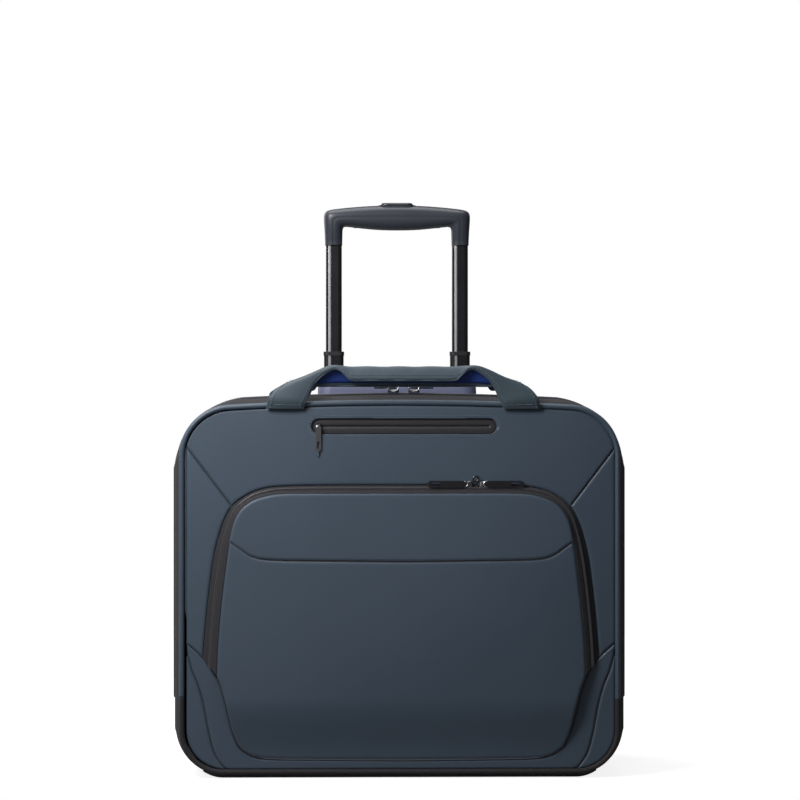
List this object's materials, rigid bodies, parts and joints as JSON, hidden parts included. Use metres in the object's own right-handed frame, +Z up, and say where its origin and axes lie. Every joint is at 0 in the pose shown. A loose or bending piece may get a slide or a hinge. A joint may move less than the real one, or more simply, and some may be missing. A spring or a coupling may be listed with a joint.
{
  "type": "rolling laptop case",
  "caption": "Soft-sided rolling laptop case in slate blue coated fabric with telescopic trolley, zipped lid and pockets, carry handles and rear wheels.",
  "frame": {"origin": "on the floor under the middle of the case, at the bottom centre of its bounding box with the trolley half out", "axes": "+Z up, the front panel faces -Y, +X to the right seen from the front"},
  "size_m": [0.4394, 0.206, 0.5696],
  "materials": {
    "panel_fabric": "satin",
    "piping_fabric": "satin",
    "zip_tape": "matte",
    "coated_tape": "satin",
    "strap_fabric": "matte",
    "blue_lining": "matte",
    "hood_fabric": "satin",
    "inner_lining": "matte",
    "board": "matte",
    "wire_steel": "satin",
    "black_tube": "gloss",
    "bezel_plastic": "matte",
    "base_plastic": "matte",
    "grip_plastic": "satin",
    "button_plastic": "satin",
    "rod_metal": "satin",
    "screw_steel": "satin",
    "hub_plastic": "satin",
    "tyre_rubber": "matte",
    "bearing_steel": "satin",
    "zip_metal": "gloss"
  },
  "bodies": {
    "case": {"rear_shell": "panel_fabric", "rear_piping": "piping_fabric", "wire_frame": "wire_steel", "back_board": "board", "laptop_divider": "inner_lining", "laptop_strap": "inner_lining", "trolley_hood": "hood_fabric", "trolley_bezel": "bezel_plastic", "foot_bracket": "bezel_plastic", "case_screws": "screw_steel", "base_tray": "base_plastic", "main_zip_rear": "zip_tape", "bottom_binding": "zip_tape", "outer_tube_left": "black_tube", "outer_tube_right": "black_tube", "wheel_housing_left": "base_plastic", "wheel_housing_right": "base_plastic", "wheel_axles": "wire_steel", "rear_handle_feet": "strap_fabric"},
    "lid": {"lid_shell": "panel_fabric", "front_piping": "piping_fabric", "top_pocket_zip": "coated_tape", "main_zip_front": "zip_tape", "top_pocket_bag": "inner_lining", "lid_lining": "inner_lining", "pocket_zip_outer": "zip_tape", "front_handle_feet": "strap_fabric"},
    "pocket": {"pocket_panel": "panel_fabric", "pocket_yoke": "panel_fabric"},
    "trolley_middle": {"middle_tube_left": "black_tube", "middle_tube_right": "black_tube", "middle_collars": "bezel_plastic"},
    "trolley_grip": {"inner_tube_left": "black_tube", "inner_tube_right": "black_tube", "grip_upper": "grip_plastic", "grip_lower": "grip_plastic", "grip_screws": "screw_steel", "lock_blocks": "bezel_plastic"},
    "button": {"push_button": "button_plastic", "pull_rods": "rod_metal"},
    "wheel_left": {"tyre_left": "tyre_rubber", "wheel_hub_left": "hub_plastic", "bearings_left": "bearing_steel"},
    "wheel_right": {"tyre_right": "tyre_rubber", "wheel_hub_right": "hub_plastic", "bearings_right": "bearing_steel"},
    "handle_front": {"front_handle_strap": "strap_fabric", "front_handle_lining": "blue_lining"},
    "handle_rear": {"rear_handle_strap": "strap_fabric", "rear_handle_lining": "blue_lining"},
    "pocket_slider_l": {"pocket_slider_left": "zip_metal"},
    "pocket_slider_r": {"pocket_slider_right": "zip_metal"},
    "pocket_pull_l": {"pocket_pull_left": "zip_metal"},
    "pocket_pull_r": {"pocket_pull_right": "zip_metal"},
    "top_slider": {"top_pocket_slider": "zip_metal"},
    "top_pull": {"top_pocket_pull": "zip_metal"},
    "main_slider_l": {"main_slider_left": "zip_metal"},
    "main_slider_r": {"main_slider_right": "zip_metal"},
    "main_pull_l": {"main_pull_left": "zip_metal"},
    "main_pull_r": {"main_pull_right": "zip_metal"}
  },
  "joints": [
    {"name": "lid_hinge", "type": "hinge", "parent": "case", "child": "lid", "pos_m": [0, -0.064, 0.0045], "axis": [1, 0, 0], "range_deg": [0, 90]},
    {"name": "pocket_hinge", "type": "hinge", "parent": "lid", "child": "pocket", "pos_m": [0, -0.0885, 0.019], "axis": [1, 0, 0], "range_deg": [0, 35]},
    {"name": "trolley_middle_slide", "type": "slide", "parent": "case", "child": "trolley_middle", "axis": [0, 0, 1], "range_m": [-0.028, 0.24]},
    {"name": "trolley_grip_slide", "type": "slide", "parent": "trolley_middle", "child": "trolley_grip", "axis": [0, 0, 1], "range_m": [-0.108, 0.17]},
    {"name": "button_slide", "type": "slide", "parent": "trolley_grip", "child": "button", "axis": [0, 0, -1], "range_m": [0, 0.004], "stiffness_N_per_m": 800, "springref_m": -0.002},
    {"name": "wheel_left_axle", "type": "hinge", "parent": "case", "child": "wheel_left", "pos_m": [-0.168, 0.072, 0.031], "axis": [1, 0, 0], "continuous": true},
    {"name": "wheel_right_axle", "type": "hinge", "parent": "case", "child": "wheel_right", "pos_m": [0.168, 0.072, 0.031], "axis": [1, 0, 0], "continuous": true},
    {"name": "front_handle_hinge", "type": "hinge", "parent": "lid", "child": "handle_front", "pos_m": [0, -0.095, 0.372], "axis": [1, 0, 0], "range_deg": [-20, 100]},
    {"name": "rear_handle_hinge", "type": "hinge", "parent": "case", "child": "handle_rear", "pos_m": [0, -0.03, 0.376], "axis": [1, 0, 0], "range_deg": [-60, 20]},
    {"name": "pocket_slider_left_run", "type": "slide", "parent": "lid", "child": "pocket_slider_l", "axis": [-1, 0, 0], "range_m": [0, 0.16]},
    {"name": "pocket_slider_right_run", "type": "slide", "parent": "lid", "child": "pocket_slider_r", "axis": [1, 0, 0], "range_m": [0, 0.045]},
    {"name": "pocket_pull_left_pivot", "type": "hinge", "parent": "pocket_slider_l", "child": "pocket_pull_l", "pos_m": [0.063, -0.09605, 0.2852], "axis": [0, 0, 1], "range_deg": [0, 100]},
    {"name": "pocket_pull_right_pivot", "type": "hinge", "parent": "pocket_slider_r", "child": "pocket_pull_r", "pos_m": [0.0835, -0.09605, 0.2852], "axis": [0, 0, -1], "range_deg": [0, 100]},
    {"name": "top_slider_run", "type": "slide", "parent": "lid", "child": "top_slider", "axis": [1, 0, 0], "range_m": [0, 0.16]},
    {"name": "top_pull_pivot", "type": "hinge", "parent": "top_slider", "child": "top_pull", "pos_m": [-0.079, -0.09275, 0.3405], "axis": [-1, 0, 0], "range_deg": [0, 150]},
    {"name": "main_slider_left_run", "type": "slide", "parent": "case", "child": "main_slider_l", "axis": [-0.9998, 0, -0.0209], "range_m": [0, 0.11]},
    {"name": "main_slider_right_run", "type": "slide", "parent": "case", "child": "main_slider_r", "axis": [0.9998, 0, -0.0209], "range_m": [0, 0.11]},
    {"name": "main_pull_left_pivot", "type": "hinge", "parent": "main_slider_l", "child": "main_pull_l", "pos_m": [-0.0035, -0.064, 0.37845], "axis": [0, 1, 0], "range_deg": [0, 90]},
    {"name": "main_pull_right_pivot", "type": "hinge", "parent": "main_slider_r", "child": "main_pull_r", "pos_m": [0.0115, -0.064, 0.37845], "axis": [0, -1, 0], "range_deg": [0, 90]}
  ]
}
